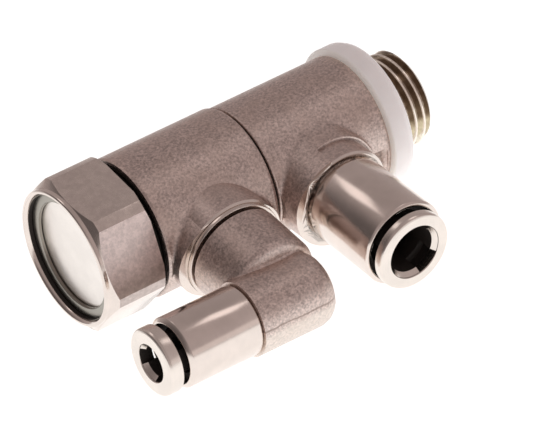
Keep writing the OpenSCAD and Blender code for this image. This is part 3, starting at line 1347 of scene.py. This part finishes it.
@dataclass
class Collet:
    """A release collet: a rounded flange with three sprung fingers."""

    name: str
    body: str
    node: str
    seat: Matrix
    finishes: Sequence[bpy.types.Material]
    grip: float
    barrel: float
    mouth: float
    flange: float
    inner_end: float
    flange_back: float
    face: float
    barb: float
    turn: float
    sweep: float = 67.0

    def build(self) -> None:
        """Turns the flange and spins the fingers on to it."""
        back, face = self.flange_back, self.face
        piece = Bench.turn(
            self.name,
            [
                (self.mouth, back),
                (self.flange - 0.25, back),
                (self.flange, back + 0.2),
                (self.flange, face - 0.45),
                (self.flange - 0.14, face - 0.14),
                (self.flange - 0.45, face),
                (self.mouth + 0.10, face),
                (self.mouth, face - 0.10),
            ],
        )
        Bench.ease(piece, 0.07, 3, 14.0)
        start, barrel, lip = self.inner_end, self.barrel, self.mouth + 0.06
        section = [
            (self.grip + 0.15, start),
            (barrel, start),
            (barrel + self.barb, start + 0.4),
            (barrel + self.barb, start + 1.0),
            (barrel, start + 1.6),
            (barrel, back + 0.4),
            (lip, back + 0.5),
            (lip, face - 0.14),
            (self.grip, face - 0.8),
            (self.grip, start + 0.3),
        ]
        for k in range(3):
            begin = self.turn + 120.0 * k - self.sweep / 2
            finger = Bench.sector("finger", section, begin, self.sweep, 24)
            Bench.combine(piece, finger, "UNION")

        def inside(centre: Vector, normal: Vector) -> bool:
            """True on the fingers, behind the flange's bright lip."""
            return centre.z < face - 0.85 and math.hypot(centre.x, centre.y) < barrel + 0.5

        # painted shade: the fingers inside the flange get the near-black bore material
        Bench.paint(piece, 1, inside)
        Bench.place(piece, self.seat, self.body, Slot.BRIGHT, [self.node], self.finishes, 30.0)


@dataclass
class SupplyConnector:
    """The straight push-in connector on the supply ring."""

    layout: Layout
    palette: Palette
    radius: float = 6.01
    end: float = 24.78

    def sleeve(self) -> None:
        """The turned sleeve."""
        outer, end = self.radius, self.end
        piece = Bench.turn(
            "supply_sleeve_turned",
            [
                (2.0, 9.25),
                (4.72, 9.25),
                (4.72, 12.46),
                (5.45, 12.46),
                (5.45, 12.9),
                (5.75, 12.9),
                (outer, 13.25),
                (outer, end - 0.35),
                (outer - 0.25, end),
                (5.38, end),
                (5.30, end - 0.1),
                (5.30, end - 1.5),
                (4.15, end - 1.5),
                (4.15, 21.0),
                (4.7, 20.5),
                (4.7, 15.4),
                (4.4, 15.4),
                (4.4, 13.5),
                (3.08, 13.5),
                (3.08, 10.6),
                (2.0, 10.6),
            ],
        )
        Bench.ease(piece, 0.06)
        # painted shade: the sleeve's inside gets the near-black bore material
        Bench.paint(piece, 1, lambda centre, normal: math.hypot(centre.x, centre.y) < 5.34)
        finishes = [self.palette.supply, self.palette.bore]
        Bench.place(piece, self.layout.supply, "supply_ring", Slot.TURNED, ["supply_sleeve"], finishes)

    def build(self) -> None:
        """Builds the ring, the sleeve and the collet."""
        x = self.layout.supply_x
        foot = [(0, 0), (8.2, 0), (8.2, 4.6), (7.7, 5.6), (7.35, 6.8)]
        RingCasting(
            name="supply_ring_casting",
            body="supply_ring",
            node="supply_banjo",
            seat=self.layout.supply,
            finishes=[self.palette.cast, self.palette.supply, self.palette.bore, self.palette.skimmed],
            low=-21.2 - x,
            high=-3.27 - x,
            radius=9.34,
            rim=0.25,
            boss=[*foot, (7.2, 8.0), (7.15, 9.0), (7.1, 9.3), (0, 9.3)],
            flank=[(0, 0), (7.0, 0), (7.0, 7.6), (6.9, 9.6), (6.85, 11.0), (6.85, 13.6), (0, 13.6)],
            flank_spread=1.08,
            neck=[(0, 6.9), (6.59, 6.9), (6.59, 12.2), (6.34, 12.45), (0, 12.45)],
            socket=4.75,
            relief=9.2,
        ).build()
        self.sleeve()
        Collet(
            name="supply_release_collet",
            body="supply_release",
            node="supply_collet",
            seat=self.layout.supply,
            finishes=[self.palette.supply_bright, self.palette.bore],
            grip=3.25,
            barrel=4.02,
            mouth=3.78,
            flange=5.42,
            inner_end=17.5,
            flange_back=25.53,
            face=27.01,
            barb=0.4,
            turn=8.0,
        ).build()


@dataclass
class PilotConnector:
    """The elbow push-in connector on the pilot ring."""

    layout: Layout
    palette: Palette
    leg: float = 6.59
    cross: float = 5.05
    cross_end: float = 6.9
    sleeve_radius: float = 4.74
    sleeve_end: float = 17.87

    def ring(self) -> None:
        """The ring that carries the elbow."""
        x = self.layout.pilot_x
        RingCasting(
            name="pilot_ring_casting",
            body="pilot_ring",
            node="pilot_banjo",
            seat=self.layout.pilot,
            finishes=[self.palette.cast, self.palette.pilot, self.palette.bore, self.palette.skimmed],
            low=-38.85 - x,
            high=-21.5 - x,
            radius=9.61,
            rim=0.45,
            boss=[(0, 0), (6.3, 0), (6.3, 9.6), (0, 9.6)],
            flank=[(0, 0), (6.6, 0), (6.6, 12.2), (0, 12.2)],
            flank_spread=1.20,
            neck=[(0, 5.6), (7.21, 5.6), (7.21, 10.8), (6.96, 11.05), (0, 11.05)],
            socket=4.9,
        ).build()

    def elbow(self) -> None:
        """The cast elbow: two rounded legs run into each other, then machined ends."""
        leg, cross = self.leg, self.cross
        piece = Bench.turn(
            "elbow_casting",
            [
                (0, 10.6),
                (leg, 10.6),
                (leg, 19.0),
                (leg - 0.12, 19.4),
                (leg - 0.5, 19.75),
                (leg - 1.3, 20.1),
                (leg - 2.5, 20.45),
                (0, 20.6),
            ],
        )
        tool = Bench.turn(
            "cross_leg",
            [
                (0, -5.0),
                (2.9, -5.0),
                (3.6, -4.85),
                (4.3, -4.4),
                (4.8, -3.7),
                (cross, -2.8),
                (cross, self.cross_end + 1.5),
                (0, self.cross_end + 1.5),
            ],
        )
        across = self._cross_in_pilot()
        Bench.combine(piece, Bench.shift(tool, across), "UNION")
        Bench.cast(piece, 0.14, 4)
        self.parting_line(piece)
        Bench.trim(piece, (0, 0, 12.1), (0, 0, -1))
        tip = across @ Vector((0, 0, self.cross_end))
        Bench.trim(piece, tuple(tip), tuple(across.to_3x3() @ Vector((0, 0, 1))))
        stem = Bench.turn("stem", [(0, 9.0), (4.83, 9.0), (4.83, 12.5), (0, 12.5)])
        Bench.combine(piece, stem, "UNION")
        bore = Bench.turn("bore", [(0, 2.6), (3.7, 2.6), (3.7, 12.0), (0, 12.0)])
        Bench.combine(piece, Bench.shift(bore, across), "DIFFERENCE")
        finishes = [self.palette.seamed]
        Bench.place(piece, self.layout.pilot, "elbow", Slot.CAST, ["elbow_body"], finishes, 34.0)

    @staticmethod
    def parting_line(piece: bpy.types.Object, width: float = 0.16, height: float = 0.07) -> None:
        """Raises the fine line where the two halves of the mould met."""
        for vertex in piece.data.vertices:
            away = abs(vertex.co.y)
            if away < width:
                vertex.co += vertex.normal * height * (1.0 - away / width)

    def _cross_in_pilot(self) -> Matrix:
        """The cross leg's frame in the bench frame of the upright leg."""
        to_mm = Matrix.Scale(1 / MM, 4)
        return to_mm @ self.layout.pilot.inverted() @ self.layout.cross @ Matrix.Scale(MM, 4)

    def trim_ring(self) -> None:
        """The plated ring in the gap between the ring's neck and the elbow."""
        inner, outer, low, high = 4.84, 6.9, 11.07, 11.68
        piece = Bench.turn("elbow_trim_ring", [(inner, low), (outer, low), (outer, high), (inner, high)])
        Bench.ease(piece, 0.08, 3)
        finishes = [self.palette.pilot]
        Bench.place(piece, self.layout.pilot, "elbow", Slot.TURNED, ["elbow_collar_ring"], finishes)

    def sleeve(self) -> None:
        """The turned sleeve on the cross leg."""
        outer, end, start = self.sleeve_radius, self.sleeve_end, self.cross_end + 0.02
        piece = Bench.turn(
            "pilot_sleeve_turned",
            [
                (1.6, 2.65),
                (3.68, 2.65),
                (3.68, start),
                (outer - 0.25, start),
                (outer, start + 0.28),
                (outer, end - 0.5),
                (outer - 0.5, end),
                (4.12, end),
                (4.05, end - 0.1),
                (4.05, end - 1.3),
                (3.05, end - 1.3),
                (3.05, 14.6),
                (3.5, 14.1),
                (3.5, 8.4),
                (3.2, 8.4),
                (3.2, 6.6),
                (2.08, 6.6),
                (2.08, 4.4),
                (1.6, 4.4),
            ],
        )
        Bench.ease(piece, 0.06)
        # painted shade: the sleeve's inside gets the near-black bore material
        Bench.paint(piece, 1, lambda centre, normal: math.hypot(centre.x, centre.y) < 4.09)
        finishes = [self.palette.cross, self.palette.bore]
        Bench.place(piece, self.layout.cross, "elbow", Slot.TURNED, ["pilot_sleeve"], finishes)

    def build(self) -> None:
        """Builds the ring, the elbow, its sleeve and the collet."""
        self.ring()
        self.elbow()
        self.trim_ring()
        self.sleeve()
        Collet(
            name="pilot_release_collet",
            body="pilot_release",
            node="pilot_collet",
            seat=self.layout.cross,
            finishes=[self.palette.cross_bright, self.palette.bore],
            grip=2.1,
            barrel=2.92,
            mouth=2.57,
            flange=4.53,
            inner_end=10.4,
            flange_back=18.8,
            face=20.84,
            barb=0.35,
            turn=14.0,
        ).build()


@dataclass
class CarriedOver:
    """CAD nodes whose shape stays: the inner seals, springs and moving parts."""

    nodes: dict
    record: dict
    palette: Palette

    def build(self) -> None:
        """Gives every CAD node the finish of its slot."""
        slots = {s["node"]: s["material_slot"] for s in self.record["subparts"]}
        for name, node in self.nodes.items():
            node.data.materials.clear()
            node.data.materials.append(self.palette.of_slot(Slot(slots[name])))


# --------------------------------------------------------------------------
# Studio
# --------------------------------------------------------------------------
@dataclass
class Studio:
    """White table, warm grey room, soft lights and the camera."""

    azimuth: float = -30.864
    elevation: float = 29.277
    roll: float = -9.894
    distance: float = 0.56702
    shift_right: float = 0.011984
    shift_up: float = 0.013889
    lens: float = 281.635
    floor_glow: float = 1.0
    aim: tuple[float, float, float] = (-0.025, -0.012, 0.0)
    lamp_colour: Colour = (1.0, 0.91, 0.88)

    def floor(self) -> None:
        """A wide pale table top that glows, with a painted pool of light: bright near the valve, darker far
        from it.
        """
        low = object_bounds()[0][2]
        Bench.clear()
        bpy.ops.mesh.primitive_plane_add(size=3.0, location=(0, 0, low))
        table = bpy.context.object
        table.name = "table_top"
        graph = Graph.named("table_white")
        away = graph.vector("DISTANCE", graph.position(), (-18.0, 18.0, 0.0))
        # painted pool of light: the table's glow fades with distance from the valve
        shade = graph.blend(away.smooth(92.0, 165.0), (1.0, 0.998, 0.992), (0.46, 0.43, 0.42))
        table.data.materials.append(
            graph.finish(
                Base_Color=(0.34, 0.34, 0.34),
                Roughness=0.8,
                Specular_IOR_Level=0.0,
                Emission_Color=shade,
                Emission_Strength=self.floor_glow,
            )
        )
        table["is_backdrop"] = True

    def sky(self) -> None:
        """The room: soft light in front, a dark side at the back left."""
        world = bpy.data.worlds.new("room")
        bpy.context.scene.world = world
        graph = Graph(world)
        way = graph.make("ShaderNodeTexCoord", {}, {}, "Generated")
        height = graph.vector("DOT_PRODUCT", way, (0.0, 0.0, 1.0))
        shade = graph.ramp(
            height,
            [
                (0.0, (0.46, 0.39, 0.375)),
                (0.25, (0.41, 0.35, 0.34)),
                (0.50, (0.375, 0.315, 0.305)),
                (1.0, (0.34, 0.285, 0.275)),
            ],
        )
        dark = graph.vector("DOT_PRODUCT", way, (-0.96, 0.26, 0.09)).smooth(0.45, 0.92)
        front = graph.vector("DOT_PRODUCT", way, (0.50, -0.60, 0.62)).smooth(0.72, 0.99)
        glow = front * 0.20 + (1.0 - dark * 0.70)
        back = graph.make("ShaderNodeBackground", {}, {"Color": shade, "Strength": glow})
        graph.make("ShaderNodeOutputWorld", {}, {"Surface": back})

    def softbox(
        self, name: str, spot: Vector, along: Vector, size: tuple[float, float], radiance: float
    ) -> None:
        """A soft area light that faces the valve.

        Args:
            name: its name.
            spot: where it hangs, in metres.
            along: the direction of its first side.
            size: its two sides, in metres.
            radiance: how bright its face is.
        """
        Bench.clear()
        bpy.ops.object.light_add(type="AREA", location=spot)
        lamp = bpy.context.object
        lamp.name = name
        lamp.data.shape = "RECTANGLE"
        lamp.data.size, lamp.data.size_y = size
        lamp.data.energy = radiance * math.pi * size[0] * size[1]
        lamp.data.color = self.lamp_colour
        back = (spot - Vector(self.aim)).normalized()
        side = (along - back * along.dot(back)).normalized()
        turn = Matrix((side, back.cross(side), back)).transposed().to_4x4()
        lamp.matrix_world = Matrix.Translation(spot) @ turn

    def lights(self) -> None:
        """Two overhead lights and a low soft light in front."""
        overhead = (0.13, 0.11)
        self.softbox("overhead_back", Vector((-0.09, 0.205, 0.385)), Vector((0.9, 0.3, 0)), overhead, 0.85)
        self.softbox("overhead_right", Vector((0.185, -0.10, 0.385)), Vector((0.9, -0.4, 0)), overhead, 0.85)
        self.softbox("front_fill", Vector((0.20, -0.50, 0.05)), Vector((0.9, 0.4, 0)), (0.42, 0.14), 0.30)

    def camera(self) -> None:
        """The camera, a long lens from the front left."""
        az, el, roll = (math.radians(v) for v in (self.azimuth, self.elevation, self.roll))
        back = Vector((math.sin(az) * math.cos(el), -math.cos(az) * math.cos(el), math.sin(el)))
        level = Vector((math.cos(az), math.sin(az), 0.0))
        rise = back.cross(level)
        right = level * math.cos(roll) + rise * math.sin(roll)
        up = rise * math.cos(roll) - level * math.sin(roll)
        spot = back * self.distance - right * self.shift_right - up * self.shift_up
        Bench.clear()
        bpy.ops.object.camera_add(location=spot)
        camera = bpy.context.object
        camera.matrix_world = Matrix.Translation(spot) @ Matrix((right, up, back)).transposed().to_4x4()
        camera.data.lens = self.lens
        camera.data.sensor_width = 36.0
        camera.data.clip_start = 0.01
        bpy.context.scene.camera = camera

    def build(self) -> None:
        """Builds the table, the room, the lights and the camera."""
        self.floor()
        self.sky()
        self.lights()
        self.camera()
        scene = bpy.context.scene
        scene.view_settings.view_transform = "Standard"
        scene.view_settings.look = "None"


def write_sizes() -> None:
    """Updates the view layer."""
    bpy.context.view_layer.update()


def main() -> None:
    """Builds the valve and its studio."""
    logging.basicConfig(level=logging.INFO, format="%(name)s %(message)s")
    layout = Layout(frame["record"])
    palette = Palette(layout)
    CarriedOver(frame["nodes"], frame["record"], palette).build()
    HollowScrew(layout, palette).build()
    ScrewTrim(layout, palette).build()
    SupplyConnector(layout, palette).build()
    PilotConnector(layout, palette).build()
    Studio().build()
    write_sizes()


if __name__ == "__main__":
    main()
